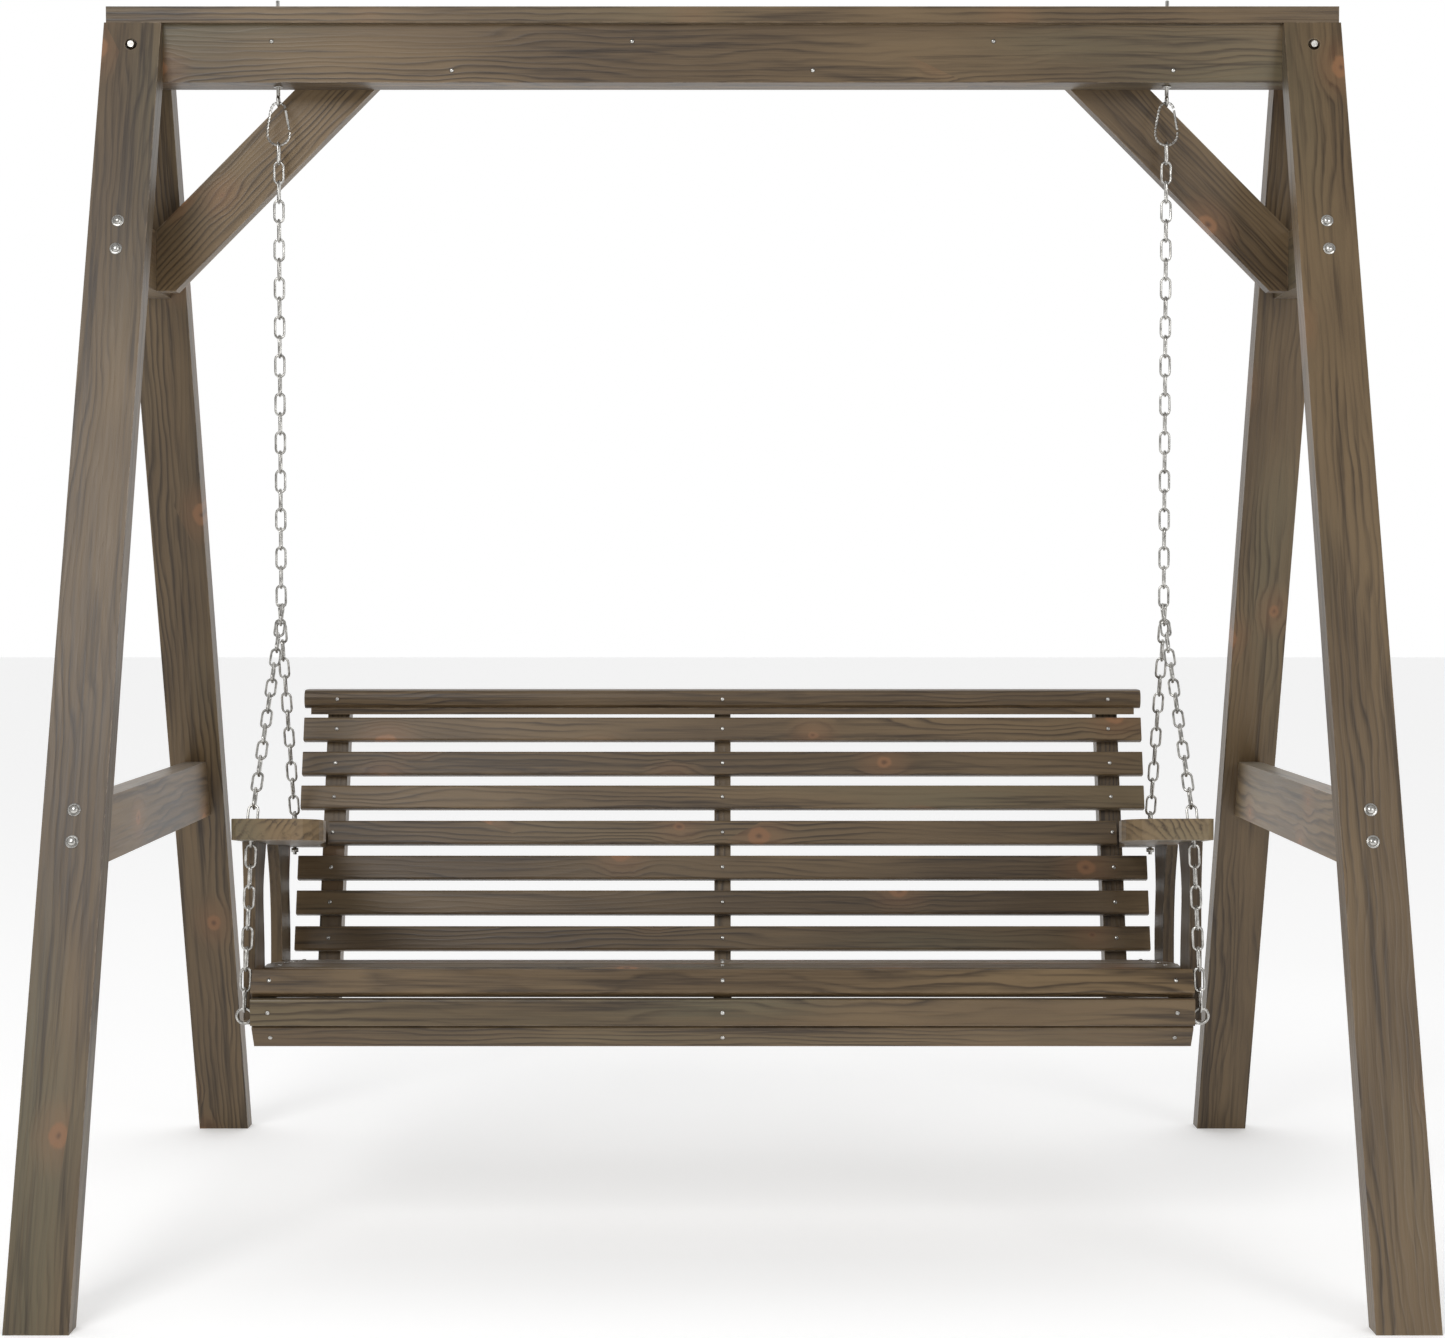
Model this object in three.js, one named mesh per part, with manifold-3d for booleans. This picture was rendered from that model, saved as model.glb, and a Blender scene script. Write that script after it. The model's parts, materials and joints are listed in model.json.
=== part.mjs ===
// Porch swing on an A-frame stand. Units are millimetres, +Z is up, -Y is the front.
// The origin lies on the floor, centred under the top beam.
import * as THREE from 'three';
import * as BufferGeometryUtils from 'three/addons/utils/BufferGeometryUtils.js';
import Module from 'manifold-3d';

// Stand
const LEG_SLOPE = 0.337;
const LEG_WIDTH = 89;
const LEG_OUTER_X = 963;
const LEG_DEPTH_Y = 40.1;
const LEG_TOP_Z = 1877;
const LEG_APEX_GAP = 0.15;
const CAP_HALF_X = 960;
const CAP_HALF_Y = 40;
const CAP_THICK = 25;
const BEAM_HALF_X = 955;
const BEAM_PLY = 30;
const BEAM_BOTTOM_Z = 1786;
const RAIL_THICK = 38;
const LEG_CENTRE_X = LEG_OUTER_X - LEG_WIDTH / 2;
const UPPER_SPREADER = [1468.6, 1563.6];
const LOWER_CROSSBAR = [597, 693];
const BRACE_THICK = 29.7;
const BRACE_LOWER_SUM = 2338;
const BRACE_UPPER_SUM = 2464;
const BRACE_END_X = 899.2;
const APEX_BOLT_Z = 1841;
const APEX_BOLT_SEAT_Y = 48;
const FIT = 0.3;

// Hangers and chains
const HANG_X = 699;
const EYE_Z = 1763;
const EYE_RADIUS = 7.6;
const EYE_WIRE = 2;
const STEM_RADIUS = 3;
const STEM_HOLE = 3.4;
const STEM_TOP_Z = 1920;
const HOOK_WIRE = 2.25;
const HOOK_TOP_Z = 1760.4;
const HOOK_BOTTOM_Z = 1693.5;
const HOOK_TOP_RADIUS = 11.25;
const HOOK_BOTTOM_RADIUS = 17.75;
const GATE_WIRE = 1.9;
const LINK_WIRE = 2;
const LINK_HALF_WIDTH = 7.25;
const LINK_PITCH = 30.35;
const LINK_BITE = 0.6;
const UPPER_LINKS = 24;
const FRONT_LINKS = 23;
const REAR_LINKS = 12;
const CHAIN_SIDE_STEP = 2.25;
const SPLIT_CLEARANCE = 2.1;
const CHAIN_TOP_Z = HOOK_BOTTOM_Z + HOOK_WIRE + 0.9;

// Bench
const BENCH_HALF_X = 698;
const SLAT_THICK = 18;
const SLAT_EDGE = 3;
const BACK_SLAT_HEIGHT = 39.7;
const BACK_SLOPE = 0.305;
const BACK_FOOT_Y = 104;
const BACK_FOOT_Z = 426;
const BACK_SLAT_Z = [426, 482.5, 538, 594, 651, 706, 762];
const BACK_CUT_SLAT = 3;
const BACK_CUT_HALF_X = 650;
const STILE_DEPTH = 38;
const STILE_TOP_Z = 794.7;
const STILE_FOOT_Z = 318;
const CAP_SLAT = { y0: 214, y1: 276, z0: 795, z1: 826, edge: 12 };
const SEAT_SLAT_WIDTH = 45;
const SEAT_SLAT_PITCH = 57;
const SEAT_SLAT_FIRST_Y = -222;
const SEAT_SLATS = 6;
const SEAT_FLAT_Z = 421;
const SEAT_BREAK_Y = -144;
const SEAT_SLOPE = 0.122;
const ROLL_WIDTH = 40;
const ROLL_SLATS = [
  { name: 'roll_slat_top', y: -284.6, z: 416.7, turn: 55 },
  { name: 'roll_slat_front', y: -299, z: 370.6, turn: 90 },
  { name: 'roll_slat_under', y: -276, z: 330, turn: 125 },
];
const ARM_FRONT_Y = -350;
const ARM_REAR_Y = 163;
const ARM_FRONT_Z = 663;
const ARM_SLOPE = 0.125;
const ARM_THICK = 31;
const ARM_INNER_X = 590;
const ARM_REAR_INNER_X = 655;
const ARM_OUTER_X = 716;
const POST_INNER_X = 698.4;
const POST_THICK = 17.6;
const POST_FOOT_Z = 344;
const FRONT_HOLE = { x: 695, y: -284, r: 14 };
const FRONT_EYE = { x: 711.6, y: -268, z: 361, r: 11.25, wire: 2.25 };
const REAR_EYE = { x: 701, y: 128, z: 618.9, r: 10.75, wire: 2.25 };
const SIDES = [['left', -1], ['right', 1]];

const wasm = await Module();
wasm.setup();

function degrees(value) {
  return value * Math.PI / 180;
}

// Mesh to solid and back, for joining and cutting.
function solid(geometry) {
  const copy = geometry.clone();
  copy.deleteAttribute('normal');
  copy.deleteAttribute('uv');
  const merged = BufferGeometryUtils.mergeVertices(copy, 1e-4);
  return new wasm.Manifold(new wasm.Mesh({
    numProp: 3,
    vertProperties: new Float32Array(merged.attributes.position.array),
    triVerts: new Uint32Array(merged.index.array),
  }));
}

function fromSolid(manifold) {
  const mesh = manifold.getMesh();
  const geometry = new THREE.BufferGeometry();
  geometry.setAttribute('position', new THREE.BufferAttribute(new Float32Array(mesh.vertProperties), 3));
  geometry.setIndex(new THREE.BufferAttribute(new Uint32Array(mesh.triVerts), 1));
  geometry.computeVertexNormals();
  return geometry;
}

function joined(geometries) {
  return fromSolid(geometries.map(solid).reduce((sum, next) => sum.add(next)));
}

function cut(geometry, tools) {
  return fromSolid(tools.map(solid).reduce((body, tool) => body.subtract(tool), solid(geometry)));
}

// Basic shapes
function extrudeYZ(points, x0, thickness) {
  const shape = new THREE.Shape(points.map(([y, z]) => new THREE.Vector2(y, z)));
  const geometry = new THREE.ExtrudeGeometry(shape, { depth: thickness, bevelEnabled: false });
  const axes = [new THREE.Vector3(0, 1, 0), new THREE.Vector3(0, 0, 1), new THREE.Vector3(1, 0, 0)];
  geometry.applyMatrix4(new THREE.Matrix4().makeBasis(...axes));
  return geometry.translate(x0, 0, 0);
}

function extrudeXZ(points, y0, thickness) {
  const shape = new THREE.Shape(points.map(([x, z]) => new THREE.Vector2(x, z)));
  const geometry = new THREE.ExtrudeGeometry(shape, { depth: thickness, bevelEnabled: false });
  const axes = [new THREE.Vector3(1, 0, 0), new THREE.Vector3(0, 0, 1), new THREE.Vector3(0, -1, 0)];
  geometry.applyMatrix4(new THREE.Matrix4().makeBasis(...axes));
  return geometry.translate(0, y0 + thickness, 0);
}

function box(x0, x1, y0, y1, z0, z1) {
  const geometry = new THREE.BoxGeometry(x1 - x0, y1 - y0, z1 - z0);
  return geometry.translate((x0 + x1) / 2, (y0 + y1) / 2, (z0 + z1) / 2);
}

// Cylinder between two points
function rod(from, to, radius, sides = 12, endRadius = radius) {
  const start = new THREE.Vector3(...from);
  const end = new THREE.Vector3(...to);
  const along = end.clone().sub(start);
  const geometry = new THREE.CylinderGeometry(endRadius, radius, along.length(), sides);
  const turn = new THREE.Quaternion().setFromUnitVectors(new THREE.Vector3(0, 1, 0), along.normalize());
  geometry.applyQuaternion(turn);
  const middle = start.add(end).multiplyScalar(0.5);
  return geometry.translate(middle.x, middle.y, middle.z);
}

// Rounded rectangle, centred on (0, 0)
function roundedOutline(width, height, edge, steps = 2) {
  const points = [];
  const corners = [[1, 1, 0], [-1, 1, 90], [-1, -1, 180], [1, -1, 270]];
  for (const [sx, sy, start] of corners) {
    for (let i = 0; i <= steps; i += 1) {
      const angle = degrees(start + 90 * i / steps);
      const x = sx * (width / 2 - edge) + edge * Math.cos(angle);
      const y = sy * (height / 2 - edge) + edge * Math.sin(angle);
      points.push([x, y]);
    }
  }
  return points;
}

// Slat along X. (y, z) is the middle of its outer face, turn is the face's tilt towards the front.
function slat(halfX, y, z, width, turn) {
  const outline = roundedOutline(width, SLAT_THICK, SLAT_EDGE);
  const angle = degrees(turn);
  const placed = outline.map(([across, up]) => {
    const depth = up - SLAT_THICK / 2;
    const py = y + across * Math.cos(angle) - depth * Math.sin(angle);
    const pz = z + across * Math.sin(angle) + depth * Math.cos(angle);
    return [py, pz];
  });
  return extrudeYZ(placed, -halfX, 2 * halfX);
}

// Stand
function legInnerY(z) {
  return LEG_APEX_GAP + (LEG_TOP_Z - z) * LEG_SLOPE;
}

function apexBolt(side) {
  const x = side * LEG_CENTRE_X;
  const end = APEX_BOLT_SEAT_Y - FIT;
  const parts = [rod([x, -end - 1, APEX_BOLT_Z], [x, end + 1, APEX_BOLT_Z], 4.8)];
  for (const way of [-1, 1]) {
    const seat = [x, way * (end + FIT * 2), APEX_BOLT_Z];
    const crown = [x, way * (end + 8), APEX_BOLT_Z];
    parts.push(rod(seat, crown, 8.5, 12, 5));
  }
  return joined(parts);
}

function apexBoltHole(side) {
  const x = side * LEG_CENTRE_X;
  return rod([x, -90, APEX_BOLT_Z], [x, 90, APEX_BOLT_Z], 5.2);
}

function leg(side, way) {
  const beamSide = BEAM_PLY + FIT;
  const notchZ = LEG_TOP_Z - (beamSide - LEG_APEX_GAP) / LEG_SLOPE;
  const outline = [
    [way * legInnerY(0), 0],
    [way * (legInnerY(0) + LEG_DEPTH_Y), 0],
    [way * (legInnerY(LEG_TOP_Z) + LEG_DEPTH_Y), LEG_TOP_Z],
    [way * beamSide, LEG_TOP_Z],
    [way * beamSide, notchZ],
  ];
  const x0 = side > 0 ? LEG_OUTER_X - LEG_WIDTH : -LEG_OUTER_X;
  const x = side * LEG_CENTRE_X;
  const seat = rod([x, way * APEX_BOLT_SEAT_Y, APEX_BOLT_Z], [x, way * 90, APEX_BOLT_Z], 9.5);
  return cut(extrudeYZ(outline, x0, LEG_WIDTH), [apexBoltHole(side), seat]);
}

function spreader(side, [z0, z1]) {
  const outline = [
    [-legInnerY(z0) + FIT, z0],
    [legInnerY(z0) - FIT, z0],
    [legInnerY(z1) - FIT, z1],
    [-legInnerY(z1) + FIT, z1],
  ];
  return extrudeYZ(outline, side * LEG_CENTRE_X - RAIL_THICK / 2, RAIL_THICK);
}

function stemHole(side) {
  return rod([side * HANG_X, 0, BEAM_BOTTOM_Z - 10], [side * HANG_X, 0, STEM_TOP_Z], STEM_HOLE, 8);
}

function beamPly(way) {
  const [y0, y1] = way < 0 ? [-BEAM_PLY, -0.1] : [0.1, BEAM_PLY];
  const ply = box(-BEAM_HALF_X, BEAM_HALF_X, y0, y1, BEAM_BOTTOM_Z, LEG_TOP_Z);
  return cut(ply, [stemHole(-1), stemHole(1), apexBoltHole(-1), apexBoltHole(1)]);
}

function capBoard() {
  const board = box(-CAP_HALF_X, CAP_HALF_X, -CAP_HALF_Y, CAP_HALF_Y, LEG_TOP_Z, LEG_TOP_Z + CAP_THICK);
  return cut(board, [stemHole(-1), stemHole(1)]);
}

function kneeBrace(side) {
  const foot = UPPER_SPREADER[0];
  const top = LEG_TOP_Z - FIT;
  const outline = [
    [side * (BRACE_LOWER_SUM - foot), foot],
    [side * BRACE_END_X, foot],
    [side * BRACE_END_X, BRACE_UPPER_SUM - BRACE_END_X],
    [side * (BRACE_UPPER_SUM - top), top],
    [side * (BRACE_LOWER_SUM - top), top],
  ];
  return extrudeXZ(outline, BEAM_PLY + FIT, BRACE_THICK);
}

function eyeBolt(side) {
  const x = side * HANG_X;
  const ring = new THREE.TorusGeometry(EYE_RADIUS, EYE_WIRE, 6, 12).rotateY(Math.PI / 2).translate(x, 0, EYE_Z);
  const capTop = LEG_TOP_Z + CAP_THICK;
  const stemStart = EYE_Z + EYE_RADIUS;
  return joined([
    ring,
    rod([x, 0, stemStart], [x, 0, STEM_TOP_Z], STEM_RADIUS, 8),
    rod([x, 0, BEAM_BOTTOM_Z - 2], [x, 0, BEAM_BOTTOM_Z], 7),
    rod([x, 0, capTop], [x, 0, capTop + 2], 9),
    rod([x, 0, capTop + 2], [x, 0, capTop + 8], 6.4, 6),
  ]);
}

// Snap hook: a pear-shaped wire with a sprung gate on its outer right flank
function hookLayout() {
  const lowZ = HOOK_BOTTOM_Z + HOOK_BOTTOM_RADIUS;
  const highZ = HOOK_TOP_Z - HOOK_TOP_RADIUS;
  const flare = Math.asin((HOOK_BOTTOM_RADIUS - HOOK_TOP_RADIUS) / (highZ - lowZ));
  const low = [HOOK_BOTTOM_RADIUS * Math.cos(flare), lowZ + HOOK_BOTTOM_RADIUS * Math.sin(flare)];
  const high = [HOOK_TOP_RADIUS * Math.cos(flare), highZ + HOOK_TOP_RADIUS * Math.sin(flare)];
  return { lowZ, highZ, flare, low, high };
}

function wireAlong(points, radius, sides, steps) {
  const curve = new THREE.CatmullRomCurve3(points.map((point) => new THREE.Vector3(...point)));
  const section = [];
  for (let i = 0; i < sides; i += 1) {
    const angle = degrees(360 * i / sides);
    section.push(new THREE.Vector2(radius * Math.cos(angle), radius * Math.sin(angle)));
  }
  const options = { steps, extrudePath: curve, bevelEnabled: false };
  return new THREE.ExtrudeGeometry(new THREE.Shape(section), options);
}

function hookBody(side) {
  const { lowZ, highZ, flare } = hookLayout();
  const points = [];
  const steps = 6;
  for (let i = 0; i <= steps; i += 1) {
    const angle = flare - (Math.PI + 2 * flare) * i / steps;
    points.push([HOOK_BOTTOM_RADIUS * Math.cos(angle), 0, lowZ + HOOK_BOTTOM_RADIUS * Math.sin(angle)]);
  }
  for (let i = 0; i <= steps; i += 1) {
    const angle = Math.PI - flare - (Math.PI - 2 * flare) * i / steps;
    points.push([HOOK_TOP_RADIUS * Math.cos(angle), 0, highZ + HOOK_TOP_RADIUS * Math.sin(angle)]);
  }
  return wireAlong(points, HOOK_WIRE, 6, 24).translate(side * HANG_X, 0, 0);
}

function hookGate(side) {
  const { low, high } = hookLayout();
  const start = new THREE.Vector3(low[0], 0, low[1]);
  const end = new THREE.Vector3(high[0], 0, high[1]);
  const along = end.clone().sub(start).normalize();
  start.addScaledVector(along, 5);
  end.addScaledVector(along, -3);
  const knuckle = new THREE.SphereGeometry(GATE_WIRE * 1.2, 8, 6).translate(start.x, start.y, start.z);
  const wire = rod(start.toArray(), end.toArray(), GATE_WIRE, 8);
  return joined([wire, knuckle]).translate(side * HANG_X, 0, 0);
}

// Chain link between two contact points, its flat side turned by the wide direction
function link(from, to, wide) {
  const along = to.clone().sub(from);
  const inner = along.length();
  along.normalize();
  const rings = 6;
  const radius = LINK_HALF_WIDTH / Math.cos(Math.PI / rings);
  const geometry = new THREE.TorusGeometry(radius, LINK_WIRE, 4, rings).rotateZ(Math.PI / rings);
  const stretch = inner / 2 + LINK_WIRE - LINK_BITE / 2 - radius;
  const position = geometry.attributes.position;
  for (let i = 0; i < position.count; i += 1) {
    position.setY(i, position.getY(i) + Math.sign(position.getY(i)) * stretch);
  }
  const across = wide.clone().addScaledVector(along, -wide.dot(along)).normalize();
  const normal = across.clone().cross(along);
  geometry.applyMatrix4(new THREE.Matrix4().makeBasis(across, along, normal));
  const middle = from.clone().add(to).multiplyScalar(0.5);
  return geometry.translate(middle.x, middle.y, middle.z);
}

// Chain of links along a polyline of points. The first link stands in the YZ plane.
function chain(corners, count) {
  const points = corners.map((corner) => new THREE.Vector3(...corner));
  const path = new THREE.CurvePath();
  for (let i = 1; i < points.length; i += 1) {
    path.add(new THREE.LineCurve3(points[i - 1], points[i]));
  }
  const sideways = new THREE.Vector3(1, 0, 0);
  const pieces = [];
  for (let i = 0; i < count; i += 1) {
    const from = path.getPointAt(i / count);
    const to = path.getPointAt((i + 1) / count);
    const front = to.clone().sub(from).cross(sideways);
    pieces.push(link(from, to, i % 2 === 0 ? front : sideways));
  }
  return joined(pieces);
}

function splitLinkPivotZ() {
  return CHAIN_TOP_Z - UPPER_LINKS * LINK_PITCH - LINK_WIRE + LINK_BITE / 2;
}

function upperChain(side) {
  const x = side * HANG_X;
  return chain([[x, 0, CHAIN_TOP_Z], [x, 0, CHAIN_TOP_Z - UPPER_LINKS * LINK_PITCH]], UPPER_LINKS);
}

// A lower chain starts just over the split link's bottom wire.
function lowerChainStart(side, step, aim) {
  const pivot = new THREE.Vector3(side * (HANG_X + step), 0, splitLinkPivotZ());
  const down = new THREE.Vector3(...aim).sub(pivot).normalize();
  return pivot.addScaledVector(down, -LINK_WIRE - SPLIT_CLEARANCE).toArray();
}

function frontChain(side) {
  const corner = [side * FRONT_HOLE.x, FRONT_HOLE.y, 662];
  const end = [side * FRONT_EYE.x, FRONT_EYE.y, FRONT_EYE.z + FRONT_EYE.r - FRONT_EYE.wire - 3 * FIT];
  return chain([lowerChainStart(side, -CHAIN_SIDE_STEP, corner), corner, end], FRONT_LINKS);
}

function rearChain(side) {
  const end = [side * REAR_EYE.x, REAR_EYE.y, REAR_EYE.z + REAR_EYE.r - REAR_EYE.wire - FIT];
  return chain([lowerChainStart(side, CHAIN_SIDE_STEP, end), end], REAR_LINKS);
}

// Bench
function backFaceY(z) {
  return BACK_FOOT_Y + BACK_SLOPE * (z - BACK_FOOT_Z);
}

function backSlat(index) {
  const z = BACK_SLAT_Z[index];
  const halfX = index === BACK_CUT_SLAT ? BACK_CUT_HALF_X : BENCH_HALF_X;
  const turn = 90 - Math.atan(BACK_SLOPE) * 180 / Math.PI;
  return slat(halfX, backFaceY(z), z, BACK_SLAT_HEIGHT, turn);
}

function stileFrontY(z) {
  return backFaceY(z) + SLAT_THICK * Math.hypot(1, BACK_SLOPE) + FIT;
}

function backStile(x0, thickness) {
  const outline = [
    [stileFrontY(STILE_FOOT_Z), STILE_FOOT_Z],
    [stileFrontY(STILE_FOOT_Z) + STILE_DEPTH, STILE_FOOT_Z],
    [stileFrontY(STILE_TOP_Z) + STILE_DEPTH, STILE_TOP_Z],
    [stileFrontY(STILE_TOP_Z), STILE_TOP_Z],
  ];
  return extrudeYZ(outline, x0, thickness);
}

// Rolled top board with a narrow strip under its front edge
function capSlat() {
  const { y0, y1, z0, z1, edge } = CAP_SLAT;
  const outline = roundedOutline(y1 - y0, z1 - z0, edge, 3);
  const placed = outline.map(([y, z]) => [y + (y0 + y1) / 2, z + (z0 + z1) / 2]);
  const roll = extrudeYZ(placed, -BENCH_HALF_X, 2 * BENCH_HALF_X);
  const stripHalfX = BENCH_HALF_X - 10;
  return joined([roll, box(-stripHalfX, stripHalfX, 222, 232, 785, z0 + 3)]);
}

function seatZ(y) {
  return SEAT_FLAT_Z - Math.max(0, y - SEAT_BREAK_Y) * SEAT_SLOPE;
}

function seatSlat(index) {
  const y = SEAT_SLAT_FIRST_Y + index * SEAT_SLAT_PITCH;
  const turn = y > SEAT_BREAK_Y ? -Math.atan(SEAT_SLOPE) * 180 / Math.PI : 0;
  return slat(BENCH_HALF_X, y, seatZ(y), SEAT_SLAT_WIDTH, turn);
}

// Seat rail: follows the rolled front edge and the seat slats from below
function seatRail(x0, thickness, rearOutline) {
  const drop = SLAT_THICK + 0.4;
  const outline = [
    [-249.2, 324],
    [-271.9, 357.3],
    [-280.6, 357.3],
    [-280.6, 388],
    [-271, seatZ(SEAT_BREAK_Y) - drop],
    [SEAT_BREAK_Y, seatZ(SEAT_BREAK_Y) - drop],
    ...rearOutline,
    [60, 312],
    [-60, 332],
    [-170, 334],
  ];
  return extrudeYZ(outline, x0, thickness);
}

function sideRail(side) {
  const endZ = seatZ(95) - SLAT_THICK - 1;
  const rail = seatRail(side > 0 ? 661.3 : -697.8, 36.5, [[95, endZ], [150, 366], [150, 318]]);
  return cut(rail, [rod([side * 600, FRONT_EYE.y, FRONT_EYE.z], [side * 720, FRONT_EYE.y, FRONT_EYE.z], STEM_HOLE, 8)]);
}

function centreRail(thickness) {
  const top = seatZ(112) - SLAT_THICK - 1;
  const rear = [[stileFrontY(top) - FIT, top], [stileFrontY(STILE_FOOT_Z) - FIT, STILE_FOOT_Z]];
  return seatRail(-thickness / 2, thickness, rear);
}

function armTopZ(y) {
  return ARM_FRONT_Z - (y - ARM_FRONT_Y) * ARM_SLOPE;
}

function armrest(side) {
  const shape = new THREE.Shape();
  shape.moveTo(side * ARM_OUTER_X, ARM_REAR_Y);
  shape.lineTo(side * ARM_OUTER_X, ARM_FRONT_Y + 14);
  shape.quadraticCurveTo(side * ARM_OUTER_X, ARM_FRONT_Y, side * (ARM_OUTER_X - 14), ARM_FRONT_Y);
  shape.lineTo(side * 648, ARM_FRONT_Y);
  shape.bezierCurveTo(side * 610, ARM_FRONT_Y, side * (ARM_INNER_X + 2), -325, side * ARM_INNER_X, -285);
  shape.bezierCurveTo(side * (ARM_INNER_X - 2), -210, side * 640, -70, side * ARM_REAR_INNER_X, 110);
  shape.lineTo(side * ARM_REAR_INNER_X, ARM_REAR_Y);
  const board = new THREE.ExtrudeGeometry(shape, { depth: ARM_THICK, bevelEnabled: false, curveSegments: 5 });
  const shear = new THREE.Matrix4().set(1, 0, 0, 0, 0, 1, 0, 0, 0, -ARM_SLOPE, 1, 0, 0, 0, 0, 1);
  board.applyMatrix4(shear).translate(0, 0, armTopZ(0) - ARM_THICK);
  const hole = FRONT_HOLE;
  return cut(board, [
    rod([side * hole.x, hole.y, 600], [side * hole.x, hole.y, 700], hole.r, 16),
    rod([side * REAR_EYE.x, REAR_EYE.y, 540], [side * REAR_EYE.x, REAR_EYE.y, 640], STEM_HOLE, 8),
  ]);
}

// Arm post: a flat board outside the seat, its edges waved like an S and its head flaring under the armrest
function armPost(side, front, rear) {
  const under = (y) => armTopZ(y) - ARM_THICK - FIT;
  const height = (share, y) => POST_FOOT_Z + (under(y) - POST_FOOT_Z) * share;
  const shape = new THREE.Shape();
  shape.moveTo(front.head, under(front.head));
  shape.splineThru([
    new THREE.Vector2(front.waist, height(0.74, front.waist)),
    new THREE.Vector2(front.belly, height(0.42, front.belly)),
    new THREE.Vector2(front.foot, POST_FOOT_Z + 8),
  ]);
  shape.lineTo(front.foot + 8, POST_FOOT_Z);
  shape.lineTo(rear.foot - 8, POST_FOOT_Z);
  shape.lineTo(rear.foot, POST_FOOT_Z + 8);
  shape.splineThru([
    new THREE.Vector2(rear.belly, height(0.42, rear.belly)),
    new THREE.Vector2(rear.waist, height(0.74, rear.waist)),
    new THREE.Vector2(rear.head, under(rear.head)),
  ]);
  const outline = shape.getPoints(3).map((point) => [point.x, point.y]);
  return extrudeYZ(outline, side > 0 ? POST_INNER_X : -POST_INNER_X - POST_THICK, POST_THICK);
}

function frontPost(side) {
  const front = { head: -254, waist: -246, belly: -249, foot: -252 };
  const rear = { head: -150, waist: -176, belly: -170, foot: -166 };
  return armPost(side, front, rear);
}

function rearPost(side) {
  const front = { head: -46, waist: -22, belly: -14, foot: -18 };
  const rear = { head: 70, waist: 58, belly: 66, foot: 62 };
  return armPost(side, front, rear);
}

function frontEye(side) {
  const { x, y, z, r, wire } = FRONT_EYE;
  const ring = new THREE.TorusGeometry(r, wire, 6, 12).rotateX(Math.PI / 2).translate(side * x, y, z);
  const stem = rod([side * (x - r), y, z], [side * 648, y, z], STEM_RADIUS, 8);
  const nut = rod([side * 652, y, z], [side * 660.8, y, z], 6.4, 6);
  return joined([ring, stem, nut]);
}

function rearEye(side) {
  const { x, y, z, r, wire } = REAR_EYE;
  const ring = new THREE.TorusGeometry(r, wire, 6, 12).rotateY(Math.PI / 2).translate(side * x, y, z);
  const under = armTopZ(y) - ARM_THICK;
  const stem = rod([side * x, y, z - r], [side * x, y, under - 12], STEM_RADIUS, 8);
  const nut = rod([side * x, y, under - 9], [side * x, y, under - 2], 6.4, 6);
  return joined([ring, stem, nut]);
}

// Materials
function stainedWood(tone) {
  const color = new THREE.Color(0x6b5a40).multiplyScalar(tone);
  return new THREE.MeshStandardMaterial({ color, roughness: 0.62, metalness: 0 });
}

function brightSteel() {
  return new THREE.MeshStandardMaterial({ color: 0xc9cbcc, roughness: 0.28, metalness: 1 });
}

function addTo(group, name, geometry, material) {
  const mesh = new THREE.Mesh(geometry, material);
  mesh.name = name;
  group.add(mesh);
}

function build() {
  const group = new THREE.Group();
  group.name = 'porch_swing';
  const wood = (name, geometry, tone = 1) => addTo(group, name, geometry, stainedWood(tone));
  const steel = (name, geometry) => addTo(group, name, geometry, brightSteel());
  wood('cap_board', capBoard(), 0.95);
  wood('beam_front_ply', beamPly(-1));
  wood('beam_rear_ply', beamPly(1));
  for (const [label, side] of SIDES) {
    wood(`leg_front_${label}`, leg(side, -1), 0.92);
    wood(`leg_rear_${label}`, leg(side, 1), 0.9);
    wood(`upper_spreader_${label}`, spreader(side, UPPER_SPREADER));
    wood(`lower_crossbar_${label}`, spreader(side, LOWER_CROSSBAR), 1.05);
    wood(`knee_brace_${label}`, kneeBrace(side));
    steel(`apex_bolt_${label}`, apexBolt(side));
    steel(`hanger_eye_${label}`, eyeBolt(side));
    steel(`snap_hook_${label}`, hookBody(side));
    steel(`snap_gate_${label}`, hookGate(side));
    steel(`upper_chain_${label}`, upperChain(side));
    steel(`front_chain_${label}`, frontChain(side));
    steel(`rear_chain_${label}`, rearChain(side));
    steel(`front_eye_${label}`, frontEye(side));
    steel(`rear_eye_${label}`, rearEye(side));
    wood(`armrest_${label}`, armrest(side), 1.08);
    wood(`front_post_${label}`, frontPost(side), 0.85);
    wood(`rear_post_${label}`, rearPost(side), 0.85);
    wood(`back_stile_${label}`, backStile(side > 0 ? 625 : -661, 36), 0.85);
    wood(`seat_rail_${label}`, sideRail(side), 0.85);
  }
  wood('back_stile_centre', backStile(-13.5, 27), 0.85);
  wood('seat_rail_centre', centreRail(27), 0.85);
  wood('cap_slat', capSlat(), 1.05);
  for (let i = 0; i < BACK_SLAT_Z.length; i += 1) {
    wood(`back_slat_${i + 1}`, backSlat(i));
  }
  for (let i = 0; i < SEAT_SLATS; i += 1) {
    wood(`seat_slat_${i + 1}`, seatSlat(i));
  }
  for (const { name, y, z, turn } of ROLL_SLATS) {
    wood(name, slat(BENCH_HALF_X, y, z, ROLL_WIDTH, turn));
  }
  return group;
}

export default build();
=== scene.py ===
"""Looks of the porch swing: stained softwood boards, bright steel chain, plain studio."""
import json
import math
import random

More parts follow.
